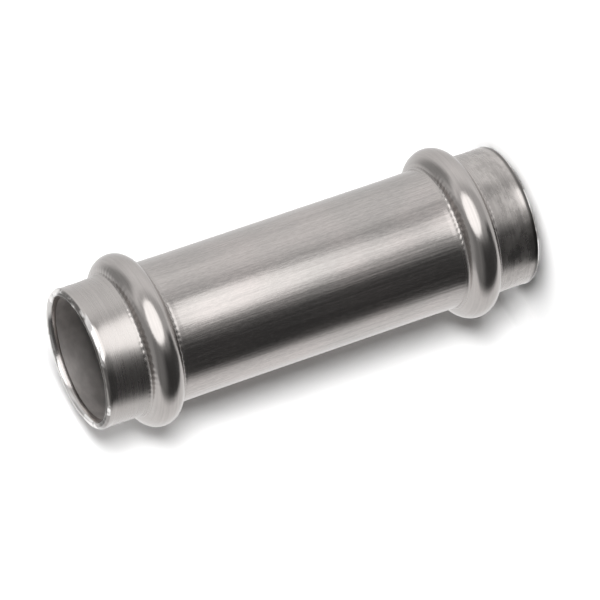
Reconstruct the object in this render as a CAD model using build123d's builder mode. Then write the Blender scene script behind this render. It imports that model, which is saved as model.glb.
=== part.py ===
from build123d import *
from math import atan2, degrees, sqrt
import os

# A straight press coupling without a stop, for two plain pipe ends of one size.
# It is one length of thin tube, with a hollow bead rolled outwards near each end. Each bead
# holds a round rubber ring, and the short collar beyond it guides the pipe into the ring.
# The coupling stands on one end: Z is its axis, and the origin is the centre of the lower end.

# Driving dimensions, in millimetres
pipe_radius = 11.0
bore_clearance = 0.15
wall = 1.5
length = 84.0
bead_distance = 11.2
seal_thickness = 3.0
seal_clearance = 0.05
groove_side_room = 0.1
blend_radius = 0.8
rim_flare = 0.2
rim_flare_length = 2.5
lead_in = 0.4
lead_in_length = 1.4
rim_outer_round = 0.8
rim_inner_round = 0.2

# The pipe sets the bore, and the wall lies round it.
bore_radius = pipe_radius + bore_clearance
tube_radius = bore_radius + wall

# The rubber ring just clears the pipe inside it, and the crest of the groove outside it.
seal_inner_radius = pipe_radius + seal_clearance
seal_centre_radius = seal_inner_radius + seal_thickness / 2
groove_crest_radius = seal_inner_radius + seal_thickness + seal_clearance

# The groove is round in section and roomier than the ring. The bead is the wall around it,
# so both are struck from one centre.
groove_radius = seal_thickness / 2 + groove_side_room
bead_radius = groove_radius + wall
bead_centre_radius = groove_crest_radius - groove_radius

# Heights here are above mid-length, because both halves are alike.
half_length = length / 2
bead_height = half_length - bead_distance

# A small hollow arc leads from the tube into each side of the bead, and touches both.
blend_centre_radius = tube_radius + blend_radius
blend_rise = blend_centre_radius - bead_centre_radius
blend_reach = sqrt((bead_radius + blend_radius) ** 2 - blend_rise**2)
blend_angle = degrees(atan2(blend_reach, blend_rise))


def wall_face(depth, widening, widening_length):
    """Draw one face of the wall, depth under the outer one, from mid-length to the rim.

    Over the last stretch the face leaves the collar and widens gently towards the rim.
    """
    radius = tube_radius - depth
    bead_centre = (bead_centre_radius, bead_height)
    tube_blend_centre = (blend_centre_radius, bead_height - blend_reach)
    collar_blend_centre = (blend_centre_radius, bead_height + blend_reach)
    Line((radius, 0), (radius, bead_height - blend_reach))
    CenterArc(tube_blend_centre, blend_radius + depth, 180, -blend_angle)
    CenterArc(bead_centre, bead_radius - depth, -blend_angle, 2 * blend_angle)
    CenterArc(collar_blend_centre, blend_radius + depth, 180 + blend_angle, -blend_angle)
    collar = Line(
        (radius, bead_height + blend_reach), (radius, half_length - widening_length)
    )
    return TangentArc(collar @ 1, (radius + widening, half_length), tangent=collar % 1)


# Coupling body: the section of the formed wall, turned about the axis
with BuildPart() as coupling_body:
    with BuildSketch(Plane.XZ.shift_origin((0, 0, half_length))) as wall_section:
        with BuildLine():
            outer_rim = wall_face(0, rim_flare, rim_flare_length)
            inner_rim = wall_face(wall, lead_in, lead_in_length)
            Line(outer_rim @ 1, inner_rim @ 1)
            mirror(about=Plane.XZ)
        make_face()
        for side, rounding in ((0, rim_inner_round), (-1, rim_outer_round)):
            ends = wall_section.vertices().group_by(Axis.Y)
            corners = [end.sort_by(Axis.X)[side] for end in (ends[0], ends[-1])]
            fillet(corners, radius=rounding)
    revolve(axis=Axis.Z)

os.makedirs("parts", exist_ok=True)
coupling_body.part.label = "coupling_body"
export_step(coupling_body.part, "parts/coupling_body.step")

# Rubber rings: one in the groove of each bead
seal_heights = {
    "upper_seal": half_length + bead_height,
    "lower_seal": half_length - bead_height,
}
for seal_name, seal_height in seal_heights.items():
    with BuildPart() as seal:
        with BuildSketch(Plane.XZ):
            with Locations((seal_centre_radius, seal_height)):
                Circle(seal_thickness / 2)
        revolve(axis=Axis.Z)
    seal.part.label = seal_name
    export_step(seal.part, f"parts/{seal_name}.step")
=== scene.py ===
# %% [markdown]
# A press coupling is a short steel tube with a hollow bead rolled outwards near each end. The
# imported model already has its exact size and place, so it is loaded first, as a fixed frame.
# Its box is kept, because nothing that is added here may make the part larger.

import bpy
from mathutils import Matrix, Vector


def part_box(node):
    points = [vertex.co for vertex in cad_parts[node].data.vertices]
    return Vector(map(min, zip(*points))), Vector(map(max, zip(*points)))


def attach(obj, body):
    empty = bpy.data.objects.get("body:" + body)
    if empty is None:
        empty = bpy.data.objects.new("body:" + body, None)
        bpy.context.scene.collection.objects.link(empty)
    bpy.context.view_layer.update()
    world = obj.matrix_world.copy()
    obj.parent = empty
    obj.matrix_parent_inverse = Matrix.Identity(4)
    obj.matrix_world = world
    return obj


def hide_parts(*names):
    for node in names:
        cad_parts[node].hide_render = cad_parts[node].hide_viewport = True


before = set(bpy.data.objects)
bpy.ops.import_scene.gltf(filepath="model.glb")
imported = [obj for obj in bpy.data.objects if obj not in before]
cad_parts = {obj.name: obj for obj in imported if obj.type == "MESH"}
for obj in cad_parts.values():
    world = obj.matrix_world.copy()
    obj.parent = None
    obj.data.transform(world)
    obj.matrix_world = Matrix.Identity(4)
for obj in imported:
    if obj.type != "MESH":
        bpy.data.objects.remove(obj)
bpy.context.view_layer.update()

# %% [markdown]
# The camera comes first, so that every later cell can be judged by eye. The photograph was
# taken from far away with a long lens: the near mouth is hardly larger than the far one. The
# coupling stands on one end here, and it lies across the picture there, so the camera looks
# slightly down on it and is rolled well over on its side.

# %% Set up the camera
from math import asin, atan2, cos, degrees, pi, radians, sin, sqrt

import bmesh
import bpy
from mathutils import Euler, Matrix, Vector, noise

scene = bpy.context.scene
body_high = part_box("coupling_body")[1]
length = body_high.z
camera_distance = 1.0
camera_elevation = radians(19.9)
camera_roll = radians(-108.77)
picture_side = 600
focal_length_in_pixels = 5743
sensor_width = 36
aim_offset_in_pixels = Vector((5.8, -14.0))

camera_data = bpy.data.cameras.new("camera")
camera_data.sensor_width = sensor_width
camera_data.lens = focal_length_in_pixels * sensor_width / picture_side
camera = bpy.data.objects.new("camera", camera_data)
scene.collection.objects.link(camera)
scene.camera = camera

level_turn = Euler((pi / 2 - camera_elevation, 0, 0)).to_matrix()
camera_turn = level_turn @ Matrix.Rotation(camera_roll, 3, "Z")
middle = Vector((0, 0, length / 2))
camera.location = middle + camera_turn @ Vector((0, 0, camera_distance))
tilt = aim_offset_in_pixels.y / focal_length_in_pixels
pan = -aim_offset_in_pixels.x / focal_length_in_pixels
camera.rotation_euler = (camera_turn @ Euler((tilt, pan, 0)).to_matrix()).to_euler()
print("camera at", camera.location, "with a lens of", round(camera_data.lens), "mm")

# %% [markdown]
# The real body is one piece of tube, pushed outwards from the inside to form the beads, with
# its two rims rounded over. Its whole shape is one wall section turned about the axis. The
# same few sizes as in the CAD source give every arc of that section, so the new mesh lies
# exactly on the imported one.

# %% Name the sizes of the wall
mm = 0.001
tube_radius = 12.65 * mm
wall = 1.5 * mm
bead_section_radius = 3.1 * mm
bead_distance = 11.2 * mm
blend_radius = 0.8 * mm
rim_flare = 0.2 * mm
rim_flare_length = 2.5 * mm
lead_in = 0.4 * mm
lead_in_length = 1.4 * mm
rim_outer_round = 0.8 * mm
rim_inner_round = 0.2 * mm

half_length = length / 2
bore_radius = tube_radius - wall
bead_centre_radius = body_high.x - bead_section_radius
bead_height = half_length - bead_distance
print("bore radius, in mm:", round(bore_radius / mm, 2))
print("middle of each bead, in mm from mid-length:", round(bead_height / mm, 2))

# %% [markdown]
# Two kinds of arc meet at a bead. The bead itself is the large one, and a small hollow arc
# leads into each side of it. Where two arcs touch, their centres and the point of contact lie
# on one line, which gives every angle.

# %% Work out the arcs of the bead
blend_rise = tube_radius + blend_radius - bead_centre_radius
blend_reach = sqrt((bead_section_radius + blend_radius) ** 2 - blend_rise**2)
blend_turn = atan2(blend_reach, blend_rise)
bead_centre = (bead_centre_radius, bead_height)
lower_blend = (tube_radius + blend_radius, bead_height - blend_reach)
upper_blend = (tube_radius + blend_radius, bead_height + blend_reach)
print("each side of a bead turns through", round(degrees(blend_turn), 1), "degrees")

# %% [markdown]
# The last stretch before the rim is a very flat arc, outside and inside, because the mouth
# widens a little. It leaves the straight wall without a kink, so its centre lies straight out
# from the place where it starts. A small round joins each flat arc to the flat of the rim.

# %% Work out the arcs of the rim
flare_radius = (rim_flare**2 + rim_flare_length**2) / (2 * rim_flare)
flare_centre = (tube_radius + flare_radius, half_length - rim_flare_length)
outer_reach = flare_radius + rim_outer_round
outer_drop = rim_flare_length - rim_outer_round
outer_turn = asin(outer_drop / outer_reach)
outer_round_radius = flare_centre[0] - sqrt(outer_reach**2 - outer_drop**2)
outer_round_centre = (outer_round_radius, half_length - rim_outer_round)

lead_radius = (lead_in**2 + lead_in_length**2) / (2 * lead_in)
lead_centre = (bore_radius + lead_radius, half_length - lead_in_length)
inner_reach = lead_radius - rim_inner_round
inner_drop = lead_in_length - rim_inner_round
inner_turn = asin(inner_drop / inner_reach)
inner_round_radius = lead_centre[0] - sqrt(inner_reach**2 - inner_drop**2)
inner_round_centre = (inner_round_radius, half_length - rim_inner_round)
print("flat of the rim, in mm:", round((outer_round_radius - inner_round_radius) / mm, 2))

# %% [markdown]
# Two helpers do the drawing, the way a pen would: on from the last point. Extruding one
# vertex and moving it draws a straight line in short steps, and spinning one vertex about a
# centre draws an arc. Heights are measured from mid-length, because both halves are alike.

# %% Write the two drawing helpers


def straight_to(section, tip, radius, height, steps):
    """Draw a straight line from the tip to a radius and a height, in even steps."""
    stride = (Vector((radius, 0, height)) - tip.co) / steps
    for _ in range(steps):
        place = tip.co + stride
        tip = bmesh.ops.extrude_vert_indiv(section, verts=[tip])["verts"][0]
        tip.co = place
    return tip


def arc_about(section, tip, centre, turn, steps):
    """Draw an arc from the tip round a centre; a positive turn goes from outwards to up."""
    swept = bmesh.ops.spin(
        section,
        geom=[tip],
        cent=(centre[0], 0, centre[1]),
        axis=(0, -1, 0),
        angle=turn,
        steps=steps,
        use_merge=False,
    )
    return swept["geom_last"][0]


print("drawing helpers ready")

# %% [markdown]
# The line starts outside at mid-length, climbs over the bead to the rim, and comes back down
# inside. The steps are short where tools have left marks, because those need many points, and
# long where the wall is plain.

# %% Draw the wall section
marked_reach = 1.0 * mm

body = bmesh.new()
tip = body.verts.new((tube_radius, 0, 0))
tip = straight_to(body, tip, tube_radius, lower_blend[1] - marked_reach, 6)
tip = straight_to(body, tip, tube_radius, lower_blend[1], 4)
tip = arc_about(body, tip, lower_blend, -blend_turn, 7)
tip = arc_about(body, tip, bead_centre, 2 * blend_turn, 26)
tip = arc_about(body, tip, upper_blend, -blend_turn, 7)
tip = straight_to(body, tip, tube_radius, upper_blend[1] + marked_reach, 4)
tip = straight_to(body, tip, tube_radius, flare_centre[1], 3)
tip = arc_about(body, tip, flare_centre, -outer_turn, 3)
tip = arc_about(body, tip, outer_round_centre, outer_turn + pi / 2, 7)
tip = straight_to(body, tip, inner_round_radius, half_length, 1)
tip = arc_about(body, tip, inner_round_centre, pi / 2 - inner_turn, 3)
tip = arc_about(body, tip, lead_centre, inner_turn, 3)
tip = straight_to(body, tip, bore_radius, upper_blend[1], 1)
tip = arc_about(body, tip, upper_blend, blend_turn, 3)
tip = arc_about(body, tip, bead_centre, -2 * blend_turn, 8)
tip = arc_about(body, tip, lower_blend, blend_turn, 3)
tip = straight_to(body, tip, bore_radius, 0, 1)
print("points in half of the wall section:", len(body.verts))

# %% [markdown]
# Mirroring that line about mid-length closes the section. A full turn about the axis then
# makes the whole wall at once, inside and outside, and merges the last section with the
# first.

# %% Turn the section into the body
turn_steps = 540
weld_distance = 0.001 * mm

bmesh.ops.mirror(body, geom=body.verts[:] + body.edges[:], axis="Z", merge_dist=weld_distance)
bmesh.ops.translate(body, verts=body.verts[:], vec=(0, 0, half_length))
bmesh.ops.spin(
    body,
    geom=body.verts[:] + body.edges[:],
    cent=(0, 0, 0),
    axis=(0, 0, 1),
    angle=2 * pi,
    steps=turn_steps,
    use_merge=True,
)
bmesh.ops.remove_doubles(body, verts=body.verts[:], dist=weld_distance)
bmesh.ops.recalc_face_normals(body, faces=body.faces[:])
open_edges = [edge for edge in body.edges if not edge.is_manifold]
print("faces:", len(body.faces), "open edges:", len(open_edges))

# %% [markdown]
# Handwork and wear are never the same all the way round. Two helpers give that: one eases a
# share from 0 to 1, and one reads smooth noise, so that a mark is deep in one patch and faint
# in the next. The noise depends only on the place, so every run gives the same marks.

# %% Write the helpers for uneven marks
patch_size = 7 * mm
patch_lift = 0.6


def ease(share):
    """Ease from 0 to 1, with a gentle start and a gentle end."""
    share = min(max(share, 0), 1)
    return share * share * (3 - 2 * share)


def unevenness(spot):
    """Give a share from 0 to 1 that changes smoothly from patch to patch."""
    return ease(noise.noise(spot / patch_size) + patch_lift)


print("marks change over patches of", round(patch_size / mm), "mm")

# %% [markdown]
# The tool that sets the foot of a bead leaves a ring of slanting teeth there, like the lay of
# a rope. They are real shape, about a tenth of a millimetre deep, so they catch the light from
# any side. The tool pressed hardest on one side. The upper bead shows its teeth nearly all the
# way round, and the lower one only along a short stretch.

# %% Shape the teeth at the foot of a bead
tooth_depth = 0.09 * mm
teeth_round = 74
tooth_slant = 2.2 / mm
tooth_wander = 5.0
tooth_reach = 0.8 * mm
tooth_middle = -0.7 * mm
shallowest_tooth = 0.4
pressed_side = radians(-75)
upper_press = (1.6, 0.25)
lower_press = (4.0, 0.08)


def tooth_dent(spot, turned, past_foot, uneven):
    """Give the depth of the teeth at a spot, turned so far round and so far past the foot."""
    narrowness, lightest = lower_press if spot.z < half_length else upper_press
    pressed = ease(1 + narrowness * (cos(turned - pressed_side) - 1))
    pressed = lightest + (1 - lightest) * pressed
    wander = tooth_wander * noise.noise(spot / patch_size * 2)
    tooth = 0.5 + 0.5 * sin(teeth_round * turned + tooth_slant * past_foot + wander)
    on_foot = ease(1 - abs(past_foot - tooth_middle) / tooth_reach)
    kept = shallowest_tooth + (1 - shallowest_tooth) * uneven
    return tooth_depth * on_foot * tooth * pressed * kept


print("teeth round each foot:", teeth_round)

# %% [markdown]
# The same tool moves metal. The wall swells a little on both sides of a bead, and the collars,
# which were held while the beads were rolled, come out slightly wavy. The waves only go
# inwards, so the part doesn't get wider.

# %% Shape the swell beside a bead and the waves of a collar
swell_height = 0.14 * mm
swell_length = 3.2 * mm
wave_height = 0.09 * mm
wave_size = 5 * mm


def foot_swell(past_foot):
    """Give how far the wall swells, so far past the foot of a bead."""
    if past_foot > 0:
        return swell_height * max(1 - past_foot / swell_length, 0) ** 2
    return swell_height * ease(1 + past_foot / blend_radius)


def wave_dent(spot, past_foot):
    """Give the depth of the waves at a spot on a collar."""
    wave = ease(0.5 + noise.noise(spot / wave_size))
    return wave_height * ease(past_foot / wave_size) * wave


print("swell and waves, in mm:", round(swell_height / mm, 2), round(wave_height / mm, 2))

# %% [markdown]
# A stretch of the upper rim was filed, which leaves a flat facet on its outer round. The
# facet is a chord of that round: each point on the arc moves in as far as the chord lies
# below it. The depth fades at both ends of the stretch. Angles go from the side that faces
# the camera.

# %% Shape the filed stretch of the rim
filed_from = radians(-42)
filed_fully_from = radians(-20)
filed_fully_to = radians(-4)
filed_to = radians(8)
file_lean = radians(14)
file_slope = pi / 4 - outer_turn / 2 - file_lean
file_half_turn = pi / 4 + outer_turn / 2 - file_lean
round_skin = 0.9 * rim_outer_round


def filed_dent(radius, height, turned):
    """Give the depth of the filed facet at a point of the upper rim's outer round."""
    from_round = Vector((radius - outer_round_centre[0], height - outer_round_centre[1]))
    off_file = atan2(from_round.y, from_round.x) - file_slope
    outer_side = from_round.x > 0 and from_round.length > round_skin
    if not outer_side or abs(off_file) >= file_half_turn:
        return 0
    side = -(turned + pi / 2)
    filed = ease((side - filed_from) / (filed_fully_from - filed_from))
    filed *= ease((filed_to - side) / (filed_to - filed_fully_to))
    return filed * rim_outer_round * (1 - cos(file_half_turn) / cos(off_file))


file_depth = rim_outer_round * (1 - cos(file_half_turn))
print("deepest place of the filed facet, in mm:", round(file_depth / mm, 2))

# %% [markdown]
# Both rims have small nicks, where the saw and the deburring wheel went round. They sit on the
# rounds and on the flat of the rim, and stop just below them.

# %% Shape the nicks in the rims
nick_depth = 0.06 * mm
nick_size = 1.3 * mm
nick_lift = 0.1
nick_reach = 1.1


def nick_dent(spot, height, uneven):
    """Give the depth of the nicks at a spot of a rim."""
    on_rim = ease((height - half_length) / rim_outer_round + nick_reach)
    nick = nick_depth * on_rim * uneven
    return nick * max(noise.noise(spot / nick_size) + nick_lift, 0)


print("nicks, in mm:", round(nick_depth / mm, 2))

# %% [markdown]
# One pass over the points adds all the marks. Each point moves in along its own normal by its
# dents and outwards from the axis by its swell, so no faces are made or lost, and the mesh
# stays closed. Only the outer face gets teeth, swell and waves.

# %% Add the marks to the body
marked = 0
body.normal_update()
for vertex in body.verts:
    spot = vertex.co
    radius = spot.xy.length
    turned = atan2(spot.y, spot.x)
    height = abs(spot.z - half_length)
    past_foot = abs(height - bead_height) - blend_reach
    uneven = unevenness(spot)
    dent = nick_dent(spot, height, uneven)
    swell = 0
    if radius > tube_radius - wall / 2:
        dent += tooth_dent(spot, turned, past_foot, uneven)
        swell = foot_swell(past_foot)
        if height > bead_height:
            dent += wave_dent(spot, past_foot)
        if spot.z > half_length:
            dent += filed_dent(radius, height, turned)
    outward = Vector((spot.x, spot.y, 0)) / radius
    vertex.co += outward * swell - vertex.normal * dent
    marked += dent > 0
for face in body.faces:
    face.smooth = True
print("points with a dent:", marked)

# %% [markdown]
# Each new piece stands in the place of one imported node and rides on the same body. One
# helper does that for every piece, so that none is left without its place.

# %% Make the steel body an object


def make_piece(name, shape, node):
    """Turn a bmesh into an object that rides on the root body and stands for a CAD node."""
    mesh = bpy.data.meshes.new(name)
    shape.to_mesh(mesh)
    shape.free()
    piece = bpy.data.objects.new(name, mesh)
    scene.collection.objects.link(piece)
    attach(piece, "root")
    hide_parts(node)
    print(name, "has", len(mesh.polygons), "faces")
    return piece


formed_body = make_piece("formed_body", body, "coupling_body")

# %% [markdown]
# Each bead hides a moulded rubber ring, which can be seen only by looking into a mouth. A
# circle turned about the axis makes it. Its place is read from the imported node, so the two
# rings need no sizes of their own.

# %% Turn the rubber rings
ring_section_points = 24
ring_turn_steps = 180


def moulded_ring(name, node):
    """Turn a round rubber ring in the place of a CAD node."""
    low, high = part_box(node)
    section_radius = (high.z - low.z) / 2
    ring_height = (high.z + low.z) / 2
    place = Matrix.Translation((high.x - section_radius, 0, ring_height))
    stand_up = Matrix.Rotation(pi / 2, 4, "X")
    ring = bmesh.new()
    bmesh.ops.create_circle(
        ring, segments=ring_section_points, radius=section_radius, matrix=place @ stand_up
    )
    bmesh.ops.spin(
        ring,
        geom=ring.verts[:] + ring.edges[:],
        cent=(0, 0, 0),
        axis=(0, 0, 1),
        angle=2 * pi,
        steps=ring_turn_steps,
        use_merge=True,
    )
    bmesh.ops.remove_doubles(ring, verts=ring.verts[:], dist=weld_distance)
    bmesh.ops.recalc_face_normals(ring, faces=ring.faces[:])
    for face in ring.faces:
        face.smooth = True
    return make_piece(name, ring, node)


upper_ring = moulded_ring("upper_ring", "upper_seal")
lower_ring = moulded_ring("lower_ring", "lower_seal")

# %% [markdown]
# Materials, paper and light are all wired from nodes. A small helper class keeps that
# readable: each of its methods adds one node and returns the output that the next one needs.

# %% Write a helper for wiring nodes


class Wiring:
    """Adds nodes to a tree and links them."""

    def __init__(self, tree):
        self.tree = tree

    def node(self, kind, sockets=None, **options):
        """Add a node, set its options, and fill or link its inputs by name or number."""
        node = self.tree.nodes.new(kind)
        for option, choice in options.items():
            setattr(node, option, choice)
        for socket, content in (sockets or {}).items():
            self.feed(node.inputs[socket], content)
        return node

    def feed(self, socket, content):
        """Put a plain value into an input, or link another node's output to it."""
        if isinstance(content, bpy.types.NodeSocket):
            self.tree.links.new(content, socket)
        else:
            socket.default_value = content

    def sum(self, operation, first, second=0.0):
        """Do one sum on one or two values."""
        return self.node("ShaderNodeMath", {0: first, 1: second}, operation=operation).outputs[0]

    def fade(self, value, low, high, at_low=0.0, at_high=1.0):
        """Ease from one level to another while a value goes from low to high."""
        limits = {"From Min": low, "From Max": high, "To Min": at_low, "To Max": at_high}
        sockets = {"Value": value, **limits}
        kind = "ShaderNodeMapRange"
        return self.node(kind, sockets, interpolation_type="SMOOTHSTEP").outputs[0]

    def mix(self, share, first, second):
        """Mix two values."""
        sockets = {"Factor": share, "A": first, "B": second}
        return self.node("ShaderNodeMix", sockets, data_type="FLOAT").outputs["Result"]

    def mix_colour(self, share, first, second):
        """Mix two colours."""
        sockets = {0: share, 6: first, 7: second}
        return self.node("ShaderNodeMix", sockets, data_type="RGBA").outputs[2]

    def grain(self, place, stretch, detail=3.0, roughness=0.6):
        """Make noise with so many lumps per metre along each axis."""
        scaled = self.node("ShaderNodeMapping", {"Vector": place, "Scale": stretch}).outputs[0]
        sockets = {"Vector": scaled, "Scale": 1.0, "Detail": detail, "Roughness": roughness}
        return self.node("ShaderNodeTexNoise", sockets).outputs[0]


def new_finish(name):
    """Start a material, and return it with its wiring, its shader and its place."""
    material = bpy.data.materials.new(name)
    material.use_nodes = True
    wiring = Wiring(material.node_tree)
    place = wiring.node("ShaderNodeTexCoord").outputs["Object"]
    return material, wiring, material.node_tree.nodes["Principled BSDF"], place


falling = (1.0, 0.0)
print("wiring helper ready")

# %% [markdown]
# Steel has no colour pattern of its own. What shows on this part is how each surface was
# worked, so the finish first has to know where it is. Two measures are enough for that on a
# turned part: how far a point is from the axis, and how far it is from mid-length.

# %% Measure the place on the steel
steel, wire, steel_shader, place = new_finish("satin_stainless")
x_y_z = wire.node("ShaderNodeSeparateXYZ", {"Vector": place})
across = wire.node("ShaderNodeCombineXYZ", {"X": x_y_z.outputs["X"], "Y": x_y_z.outputs["Y"]})
radius = wire.node("ShaderNodeVectorMath", {0: across.outputs[0]}, operation="LENGTH")
radius = radius.outputs["Value"]
above_foot = x_y_z.outputs["Z"]
from_middle = wire.sum("SUBTRACT", above_foot, half_length)
height = wire.sum("ABSOLUTE", from_middle)
print("the steel knows its radius and its height")

# %% [markdown]
# Each region is a share from 0 to 1 that fades over a short edge: the ends from the bead's
# foot onwards, the beads and rims that the buffing wheel reached, the lower collar, which has
# been handled most, and the bore. The side that faces the camera gets a share of its own,
# because the rims carry stains and painted shade there.

# %% Find the regions of the steel
bead_foot = bead_height - blend_reach
end_edge = (bead_foot - 0.5 * mm, bead_foot + 0.5 * mm)
bead_edge = (tube_radius + 0.2 * mm, tube_radius + 1.0 * mm)
rim_edge = (half_length - 2.3 * mm, half_length - 1.3 * mm)
foot_collar_edge = (6.6 * mm, 7.6 * mm)
inside_edge = (bore_radius + 0.05 * mm, bore_radius + 0.25 * mm)
lead_in_edge = (lead_centre[1] - 0.1 * mm, lead_centre[1] + 0.1 * mm)
near_side_edge = (-3 * mm, 3 * mm)

on_ends = wire.fade(height, *end_edge)
on_bead = wire.fade(radius, *bead_edge)
on_rim = wire.fade(height, *rim_edge)
on_polish = wire.sum("MAXIMUM", on_bead, on_rim)
on_foot_collar = wire.fade(above_foot, *foot_collar_edge, *falling)
on_inside = wire.fade(radius, *inside_edge, *falling)
past_lead_in = wire.fade(height, *lead_in_edge, *falling)
in_bore = wire.sum("MULTIPLY", on_inside, past_lead_in)
near_side = wire.fade(x_y_z.outputs["Y"], *near_side_edge, *falling)
print("regions: tube, ends, beads, rims, foot collar, bore, near side")

# %% [markdown]
# The tube was ground lengthways, and the beads and collars were worked round the axis while
# the part turned. So the same fine grain is stretched along Z on the one, and round the axis
# on the other. Broad, faint patches go under it, because no satin finish is quite even.

# %% Lay the grain
satin_scale = (5200, 5200, 900)
long_scale = (3000, 3000, 40)
band_scale = (900, 900, 25)
round_scale = (70, 70, 3200)
patch_scale = (90, 90, 60)
scuff_scale = (240, 240, 420)
grain_contrast = (0.3, 0.7)


def lay(scale, detail=3.0, roughness=0.6):
    """Lay one grain, with its contrast stretched to run from 0 to 1."""
    return wire.fade(wire.grain(place, scale, detail, roughness), *grain_contrast)


satin_grain = lay(satin_scale, 2.0)
long_grain = lay(long_scale)
long_bands = lay(band_scale)
round_grain = lay(round_scale)
patches = lay(patch_scale, 2.0)
scuffs = lay(scuff_scale, 3.0)
streaks = wire.mix(0.45, long_grain, long_bands)
tube_grain = wire.mix(0.6, satin_grain, streaks)
end_grain = wire.mix(0.3, wire.mix(0.12, round_grain, satin_grain), scuffs)
grain = wire.mix(on_ends, tube_grain, end_grain)
dull_grain = wire.mix(0.6, grain, scuffs)
print("grain laid")

# %% [markdown]
# Gloss follows the grain: each surface has a least and a greatest roughness, and the grain
# goes from one to the other. Beads and rims were buffed and are the glossiest. The lower
# collar is scuffed, and the bore kept the matt skin that the tube mill left on it.

# %% Set the gloss of the steel
tube_roughness = (0.17, 0.27)
end_roughness = (0.25, 0.31)
polish_roughness = (0.16, 0.21)
scuffed_roughness = (0.2, 0.35)
bore_roughness = 0.6

smoothest = wire.mix(on_ends, tube_roughness[0], end_roughness[0])
roughest = wire.mix(on_ends, tube_roughness[1], end_roughness[1])
roughness = wire.mix(grain, smoothest, roughest)
scuffed = wire.mix(dull_grain, *scuffed_roughness)
roughness = wire.mix(on_foot_collar, roughness, scuffed)
roughness = wire.mix(on_polish, roughness, wire.mix(grain, *polish_roughness))
roughness = wire.mix(in_bore, roughness, bore_roughness)
print("gloss set")

# %% [markdown]
# The tone of bare steel hardly changes. It is a little darker in the hollows of the grain and
# a little warmer in some patches, and more even where it was buffed. Only the scuffed collar
# at the foot shows strong patches of light and dark.

# %% Tone the outside of the steel
dark_tone = (0.375, 0.355, 0.344, 1)
light_tone = (0.59, 0.566, 0.545, 1)
warm_tone = (0.61, 0.563, 0.544, 1)
even_tone = (0.485, 0.459, 0.443, 1)
dull_dark_tone = (0.35, 0.331, 0.319, 1)
dull_light_tone = (0.65, 0.614, 0.592, 1)
buffed_evenness = 0.6

raised_tone = wire.mix_colour(patches, light_tone, warm_tone)
outer_tone = wire.mix_colour(wire.mix(0.2, grain, patches), dark_tone, raised_tone)
evenness = wire.mix(on_ends, 0.0, buffed_evenness)
evenness = wire.mix(on_polish, evenness, buffed_evenness)
outer_tone = wire.mix_colour(evenness, outer_tone, even_tone)
dull_tone = wire.mix_colour(dull_grain, dull_dark_tone, dull_light_tone)
outer_tone = wire.mix_colour(on_foot_collar, outer_tone, dull_tone)
print("outside toned")

# %% [markdown]
# The bore is pale near the mouth. Further in, its colour is painted darker, as painted shade
# where little light reaches it.
# From the groove behind the mouth inwards it is painted nearly black, as the painted shade of the
# rubber ring that fills the groove.

# %% Tone the bore
bore_dark_tone = (0.58, 0.552, 0.538, 1)
bore_light_tone = (0.74, 0.704, 0.686, 1)
painted_deep_shade_tone = (0.2, 0.19, 0.185, 1)
painted_groove_shade_tone = (0.03, 0.028, 0.028, 1)
painted_deep_shade_edge = (half_length - 8.5 * mm, half_length - 5 * mm)
painted_groove_shade_edge = (upper_blend[1] - 0.3 * mm, upper_blend[1] + 0.1 * mm)

bore_tone = wire.mix_colour(scuffs, bore_dark_tone, bore_light_tone)
# painted shade: the colour darkens deeper in the bore
painted_deep_shade = wire.fade(height, *painted_deep_shade_edge, *falling)
bore_tone = wire.mix_colour(painted_deep_shade, bore_tone, painted_deep_shade_tone)
# painted shade: nearly black colour from the groove inwards
painted_groove_shade = wire.fade(height, *painted_groove_shade_edge, *falling)
bore_tone = wire.mix_colour(painted_groove_shade, bore_tone, painted_groove_shade_tone)
tone = wire.mix_colour(in_bore, outer_tone, bore_tone)
print("bore toned")

# %% [markdown]
# The rims were cut last, so they are the brightest steel of all where the cut is still clean;
# that bright tone is also a painted highlight on the lips. Patches of it are darker on the side
# that faces the camera, partly stains and partly painted shade. The filed stretch of the upper
# rim is light from end to end, a painted highlight over the filed metal: it is found by how far a
# point lies out towards the file.

# %% Tone the cut and the filed rims
bare_and_highlight_tone = (0.95, 0.93, 0.915, 1)
stain_and_shade_tone = (0.3, 0.285, 0.275, 1)
filed_highlight_tone = (0.82, 0.8, 0.79, 1)
cut_edge = (half_length - 0.6 * mm, half_length - 0.35 * mm)
stain_and_shade_scale = (150, 150, 150)
stain_and_shade_contrast = (0.43, 0.5)
bare_and_highlight_behind = 0.55
filed_turn = radians(13)
filed_way = (sin(filed_turn), -cos(filed_turn), 0)
filed_reach_edge = (11.7 * mm, 12.1 * mm)
filed_height_edge = (half_length - 1.0 * mm, half_length - 0.8 * mm)

# painted highlight and painted shade: the cut rims are light with dark patches, partly real bare
# steel and stains
on_cut = wire.fade(height, *cut_edge)
bare_and_highlight = wire.fade(wire.grain(place, stain_and_shade_scale, 4.0), *stain_and_shade_contrast)
bare_and_highlight = wire.sum("MAXIMUM", bare_and_highlight, wire.mix(near_side, bare_and_highlight_behind, 0.0))
tone = wire.mix_colour(on_cut, tone, wire.mix_colour(bare_and_highlight, stain_and_shade_tone, bare_and_highlight_tone))

# painted highlight: the filed stretch is toned light, over its real filed facet
filed = wire.node("ShaderNodeVectorMath", {0: place, 1: filed_way}, operation="DOT_PRODUCT")
filed = wire.fade(filed.outputs["Value"], *filed_reach_edge)
filed = wire.sum("MULTIPLY", filed, wire.fade(from_middle, *filed_height_edge))
tone = wire.mix_colour(filed, tone, filed_highlight_tone)
print("rims toned")

# %% [markdown]
# Two dark marks are painted into the colour at edges. A thin dark line runs round the lower rim,
# where its round meets the collar: a painted dark reflection. The inner edge of each mouth is
# painted dark in patches on the side that faces the camera: painted shade.

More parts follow.
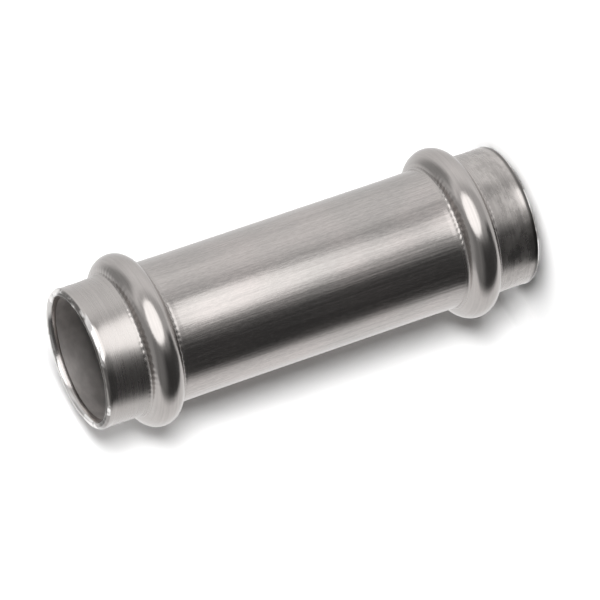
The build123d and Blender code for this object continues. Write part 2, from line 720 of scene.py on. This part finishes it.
# %% Paint the dark reflection line and the shade at the inner edge
painted_dark_reflection_tone = (0.1, 0.095, 0.09, 1)
painted_edge_shade_tone = (0.05, 0.045, 0.04, 1)
painted_dark_reflection_share = 0.85
painted_dark_reflection_low_edge = (0.35 * mm, 0.55 * mm)
painted_dark_reflection_high_edge = (0.8 * mm, 1.3 * mm)
painted_edge_shade_scale = (110, 110, 110)
painted_edge_shade_contrast = (0.36, 0.44)
inner_edge = (half_length - 0.3 * mm, half_length - 0.16 * mm)
flat_edge = (outer_round_radius + 0.15 * mm, outer_round_radius + 0.35 * mm)

# painted dark reflection: a dark ring of colour round the lower rim
painted_dark_reflection = wire.fade(above_foot, *painted_dark_reflection_low_edge)
painted_dark_reflection = wire.sum("MULTIPLY", painted_dark_reflection, wire.fade(above_foot, *painted_dark_reflection_high_edge, painted_dark_reflection_share, 0.0))
tone = wire.mix_colour(painted_dark_reflection, tone, painted_dark_reflection_tone)

# painted shade: dark patches at the inner edge of each mouth, on the camera's side
painted_edge_shade = wire.fade(wire.grain(place, painted_edge_shade_scale, 3.0), *painted_edge_shade_contrast)
painted_edge_shade = wire.sum("MULTIPLY", painted_edge_shade, wire.fade(height, *inner_edge))
painted_edge_shade = wire.sum("MULTIPLY", painted_edge_shade, wire.fade(radius, *flat_edge, *falling))
painted_edge_shade = wire.sum("MULTIPLY", painted_edge_shade, near_side)
tone = wire.mix_colour(painted_edge_shade, tone, painted_edge_shade_tone)
print("dark line and burnt edge toned")

# %% [markdown]
# Last comes relief that is too fine for the mesh. Broad bands and scuffs go under the fine
# grain, so each bump node takes the one before it as its normal. Both are about a hundredth
# of a millimetre deep.

# %% Raise the relief and finish the steel
fine_depth = 0.012 * mm
broad_depth = 0.014 * mm
fine_strength = wire.mix(on_ends, 0.35, 0.15)
broad_strength = 0.5

broad_height = wire.mix(on_ends, long_bands, scuffs)
broad = {"Height": broad_height, "Strength": broad_strength, "Distance": broad_depth}
relief = wire.node("ShaderNodeBump", broad)
fine = {"Height": grain, "Strength": fine_strength, "Distance": fine_depth}
relief = wire.node("ShaderNodeBump", {**fine, "Normal": relief.outputs[0]})
wire.feed(steel_shader.inputs["Base Color"], tone)
wire.feed(steel_shader.inputs["Roughness"], roughness)
wire.feed(steel_shader.inputs["Normal"], relief.outputs[0])
wire.feed(steel_shader.inputs["Metallic"], 1.0)
formed_body.data.materials.append(steel)
print("steel finished")

# %% [markdown]
# The rings are moulded from matt black rubber, dusted with a little powder so that they don't
# stick. That dust is the only thing that lightens them, in small uneven patches.

# %% Finish the rubber
rubber, wire, rubber_shader, place = new_finish("seal_rubber")
dust_scale = (900, 900, 900)
clean_tone = (0.018, 0.018, 0.019, 1)
dusty_tone = (0.05, 0.05, 0.05, 1)
rubber_roughness = (0.5, 0.75)
skin_depth = 0.01 * mm
skin_strength = 0.3

dust = wire.grain(place, dust_scale, 4.0)
dull = wire.fade(dust, *grain_contrast, *rubber_roughness)
skin = {"Height": dust, "Strength": skin_strength, "Distance": skin_depth}
skin = wire.node("ShaderNodeBump", skin)
wire.feed(rubber_shader.inputs["Base Color"], wire.mix_colour(dust, clean_tone, dusty_tone))
wire.feed(rubber_shader.inputs["Roughness"], dull)
wire.feed(rubber_shader.inputs["Normal"], skin.outputs[0])
for ring in (upper_ring, lower_ring):
    ring.data.materials.append(rubber)
print("rubber finished")

# %% [markdown]
# The stage is white paper: a floor under the part and a backdrop close behind it. The real
# part lay on its side, so a soft shadow follows its whole length. Here it stands on its foot,
# and the backdrop takes the table's place: it almost touches the beads and catches the same
# shadow. A small bend joins it to the floor, so that no edge shows.

# %% Measure out the paper
backdrop_turn = radians(35)
backdrop_gap = 0.3 * mm
backdrop_distance = body_high.x + backdrop_gap
bend_radius = 3 * mm
bend_steps = 12
paper_reach = 4.0

bend_centre = Vector((0, backdrop_distance - bend_radius, bend_radius))
print("backdrop, in mm from the axis:", round(backdrop_distance / mm, 1))

# %% [markdown]
# Paper is nearly white and has no shine. In the bend it would catch the light of both lamps
# and show as a bright band, so its tone there is divided by how far it faces upwards and
# sideways together. Its back is clear, so that the part can be looked at from every side.

# %% Make the white paper
paper_level = 0.97

paper, wire, paper_shader, _ = new_finish("white_paper")
facing = wire.node("ShaderNodeNewGeometry")
upwards = wire.node("ShaderNodeSeparateXYZ", {"Vector": facing.outputs["Normal"]}).outputs["Z"]
sideways = wire.sum("SQRT", wire.sum("SUBTRACT", 1.0, wire.sum("MULTIPLY", upwards, upwards)))
level = wire.sum("DIVIDE", paper_level, wire.sum("ADD", upwards, sideways))
white = wire.node("ShaderNodeCombineColor", {0: level, 1: level, 2: level}).outputs[0]
wire.feed(paper_shader.inputs["Base Color"], white)
wire.feed(paper_shader.inputs["Roughness"], 1.0)
wire.feed(paper_shader.inputs["Specular IOR Level"], 0.0)

clear = wire.node("ShaderNodeBsdfTransparent").outputs[0]
one_sided = {0: facing.outputs["Backfacing"], 1: paper_shader.outputs[0], 2: clear}
one_sided = wire.node("ShaderNodeMixShader", one_sided).outputs[0]
wire.feed(paper.node_tree.nodes["Material Output"].inputs["Surface"], one_sided)
print("paper made")

# %% [markdown]
# A sheet starts as a line in side view, and extruding its edges sideways widens it. Its faces
# look up or towards the part. The steel doesn't mirror the sheets, because a studio for shiny
# surfaces comes in the next step. The backdrop casts no shadow, or it would keep the overhead
# light from the floor.

# %% Lay the floor and hang the backdrop


def lay_paper(name, line):
    """Draw a line in side view, widen it into a sheet of paper, and put it on the stage."""
    sheet = bmesh.new()
    tip = sheet.verts.new(line[0])
    for corner in line[1:]:
        tip = bmesh.ops.extrude_vert_indiv(sheet, verts=[tip])["verts"][0]
        tip.co = corner
    bmesh.ops.translate(sheet, verts=sheet.verts[:], vec=(-paper_reach, 0, 0))
    widened = bmesh.ops.extrude_edge_only(sheet, edges=sheet.edges[:])["geom"]
    far_side = [part for part in widened if isinstance(part, bmesh.types.BMVert)]
    bmesh.ops.translate(sheet, verts=far_side, vec=(2 * paper_reach, 0, 0))
    for face in sheet.faces:
        face.smooth = True
        face.normal_update()
        if face.normal.z < face.normal.y:
            face.normal_flip()
    mesh = bpy.data.meshes.new(name)
    sheet.to_mesh(mesh)
    sheet.free()
    mesh.materials.append(paper)
    laid = bpy.data.objects.new(name, mesh)
    scene.collection.objects.link(laid)
    laid.rotation_euler = (0, 0, backdrop_turn)
    laid.visible_glossy = False
    laid.visible_diffuse = False
    print("laid the", name)
    return laid


lay_paper("floor", [(0, -paper_reach, 0), (0, bend_centre.y, 0)])
backdrop_line = []
for step in range(bend_steps + 1):
    bent = pi / 2 * step / bend_steps
    backdrop_line.append(bend_centre + Vector((0, sin(bent), -cos(bent))) * bend_radius)
backdrop_line.append((0, backdrop_distance, paper_reach))
backdrop = lay_paper("backdrop", backdrop_line)
backdrop.visible_shadow = False

# %% [markdown]
# Polished steel shows the room more than itself. The part was photographed in a white
# tent, with a bright soft panel on one side and a dark card on the other. The world is that
# tent. It starts as a ramp of grey levels round the horizon, with angles from the side that
# faces the camera.

# %% Wrap the tent round the part
world = bpy.data.worlds.new("studio")
scene.world = world
world.use_nodes = True
sky = Wiring(world.node_tree)
looking = sky.node("ShaderNodeTexCoord").outputs["Generated"]
look = sky.node("ShaderNodeSeparateXYZ", {"Vector": looking})
leftward = sky.sum("MULTIPLY", look.outputs["X"], -1.0)
forward = sky.sum("MULTIPLY", look.outputs["Y"], -1.0)
azimuth = sky.sum("ARCTAN2", leftward, forward)
elevation = sky.sum("ARCSINE", look.outputs["Z"])

horizon = [
    (-180, 1.0),
    (-150, 0.82),
    (-120, 0.84),
    (-82, 0.98),
    (-62, 0.94),
    (-48, 0.62),
    (6, 0.62),
    (28, 0.1),
    (40, 0.06),
    (88, 0.05),
    (107, 0.95),
    (150, 1.0),
    (180, 1.0),
]
round_share = sky.node(
    "ShaderNodeMapRange", {"Value": azimuth, "From Min": -pi, "From Max": pi}
).outputs[0]
ramp_node = sky.node("ShaderNodeValToRGB", {0: round_share})
ramp = ramp_node.color_ramp
ramp.elements.remove(ramp.elements[-1])
for degrees_round, level in horizon:
    share = (degrees_round + 180) / 360
    first = degrees_round == horizon[0][0]
    stop = ramp.elements[0] if first else ramp.elements.new(share)
    stop.position = share
    stop.color = (level, level, level, 1)
print("stops round the horizon:", len(ramp.elements))

# %% [markdown]
# Above and below the horizon the tent isn't the same. A few panels with soft edges cover
# parts of it, each given by its limits sideways and upwards in degrees, the softness of its
# edge and its grey level. The beads curve both ways, so they show these panels best.

# %% Hang the panels
panels = [
    ("dark corner", (-160, -75), (22, 56), 12, 0.38),
    ("card's pale top", (-5, 95), (22, 70), 18, 0.25),
    ("ceiling", (-200, 200), (62, 120), 8, 0.42),
    ("ground", (-200, 200), (-120, -72), 8, 0.85),
    ("dark strip", (4, 85), (-68, -42), 10, 0.08),
]
tent = ramp_node.outputs[0]
for title, across_limits, up_limits, softness, level in panels:
    left, right = (radians(limit) for limit in across_limits)
    low, high = (radians(limit) for limit in up_limits)
    edge = radians(softness)
    cover = sky.fade(azimuth, left - edge, left + edge)
    cover = sky.sum("MULTIPLY", cover, sky.fade(azimuth, right - edge, right + edge, *falling))
    cover = sky.sum("MULTIPLY", cover, sky.fade(elevation, low - edge, low + edge))
    cover = sky.sum("MULTIPLY", cover, sky.fade(elevation, high - edge, high + edge, *falling))
    tent = sky.mix_colour(cover, tent, (level, level, level, 1))
    print("hung the", title)

# %% [markdown]
# The bright panel hangs quite close, so it is a real sheet and not part of the far tent. The
# nearer end of the tube mirrors its bright middle and the foot of the tube only its fading
# lower edge, which is why the highlight dims along the tube.

# %% Stretch the soft box
soft_box_azimuth = radians(-14)
soft_box_distance = 0.3
soft_box_height = 0.14
soft_box_half_width = 0.18
soft_box_half_height = 0.26

soft_box_shape = bmesh.new()
bmesh.ops.create_grid(soft_box_shape, x_segments=1, y_segments=1, size=1)
stretch = (soft_box_half_width, soft_box_half_height, 1)
bmesh.ops.scale(soft_box_shape, vec=stretch, verts=soft_box_shape.verts[:])
soft_box_mesh = bpy.data.meshes.new("soft_box")
soft_box_shape.to_mesh(soft_box_mesh)
soft_box_shape.free()
soft_box = bpy.data.objects.new("soft_box", soft_box_mesh)
scene.collection.objects.link(soft_box)
outwards = Vector((-sin(soft_box_azimuth), -cos(soft_box_azimuth), 0))
soft_box.location = outwards * soft_box_distance + Vector((0, 0, soft_box_height))
soft_box.rotation_euler = (pi / 2, 0, -soft_box_azimuth)
print("soft box hung at", soft_box.location)

# %% [markdown]
# Its silk glows evenly in the middle, fades out round an oval edge, and is weaker towards the
# bottom. Where it has faded, it is clear. Only shiny surfaces see it, so it lights nothing
# else and hides nothing from the camera.

# %% Light the silk of the soft box
soft_box_level = 2.0
oval_edge = (0.88, 1.0)
lower_edge = (-1.0, -0.55)
lower_glow = (0.5, 1.0)

silk, wire, _, place = new_finish("soft_box_silk")
x_y_z = wire.node("ShaderNodeSeparateXYZ", {"Vector": place})
aside = wire.sum("DIVIDE", x_y_z.outputs["X"], soft_box_half_width)
aloft = wire.sum("DIVIDE", x_y_z.outputs["Y"], soft_box_half_height)
off_centre = wire.node("ShaderNodeCombineXYZ", {"X": aside, "Y": aloft}).outputs[0]
off_centre = wire.node("ShaderNodeVectorMath", {0: off_centre}, operation="LENGTH")
glow = wire.fade(off_centre.outputs["Value"], *oval_edge, *falling)
glow = wire.sum("MULTIPLY", glow, wire.fade(aloft, *lower_edge, *lower_glow))
clear = wire.node("ShaderNodeBsdfTransparent").outputs[0]
shine = wire.node("ShaderNodeEmission", {"Strength": soft_box_level}).outputs[0]
sheet = wire.node("ShaderNodeMixShader", {0: glow, 1: clear, 2: shine}).outputs[0]
wire.feed(silk.node_tree.nodes["Material Output"].inputs["Surface"], sheet)
soft_box_mesh.materials.append(silk)
soft_box.visible_camera = False
soft_box.visible_diffuse = False
soft_box.visible_transmission = False
soft_box.visible_volume_scatter = False
soft_box.visible_shadow = False
print("soft box lit")

# %% [markdown]
# The world sorts its rays. Shiny surfaces see the tent, the camera sees plain white past the
# edge of the paper, and matt surfaces get a weak, even fill, so that the shadow on the paper
# keeps its depth.

# %% Show the tent to shiny surfaces only
fill_light = (0.06, 0.06, 0.06, 1)

rays = sky.node("ShaderNodeLightPath")
for_shiny = sky.sum("MAXIMUM", rays.outputs["Is Glossy Ray"], rays.outputs["Is Transmission Ray"])
seen = sky.mix_colour(for_shiny, fill_light, tent)
seen = sky.mix_colour(rays.outputs["Is Camera Ray"], seen, (1, 1, 1, 1))
sky.feed(world.node_tree.nodes["Background"].inputs["Color"], seen)
print("world lit")

# %% [markdown]
# Two wide, soft lamps light the paper. The key comes in low from the camera's side, and its
# shadow falls on the backdrop along the whole part. The other one hangs overhead, and its
# shadow lies on the floor round the foot. They are about equally strong, so that floor and
# backdrop look alike. The steel doesn't mirror them.

# %% Hang the lamps
lamps = [
    ("key", 4.7, 34, (84, 0, 23)),
    ("overhead", 4.3, 50, (11, 0, 92)),
]
for title, energy, spread, turn in lamps:
    lamp_data = bpy.data.lights.new(title, "SUN")
    lamp_data.energy = energy
    lamp_data.angle = radians(spread)
    lamp = bpy.data.objects.new(title, lamp_data)
    scene.collection.objects.link(lamp)
    lamp.rotation_euler = Euler([radians(angle) for angle in turn])
    lamp.visible_glossy = False
    print("lamp:", title)

# %% Finish with the plain view transform
scene.view_settings.view_transform = "Standard"
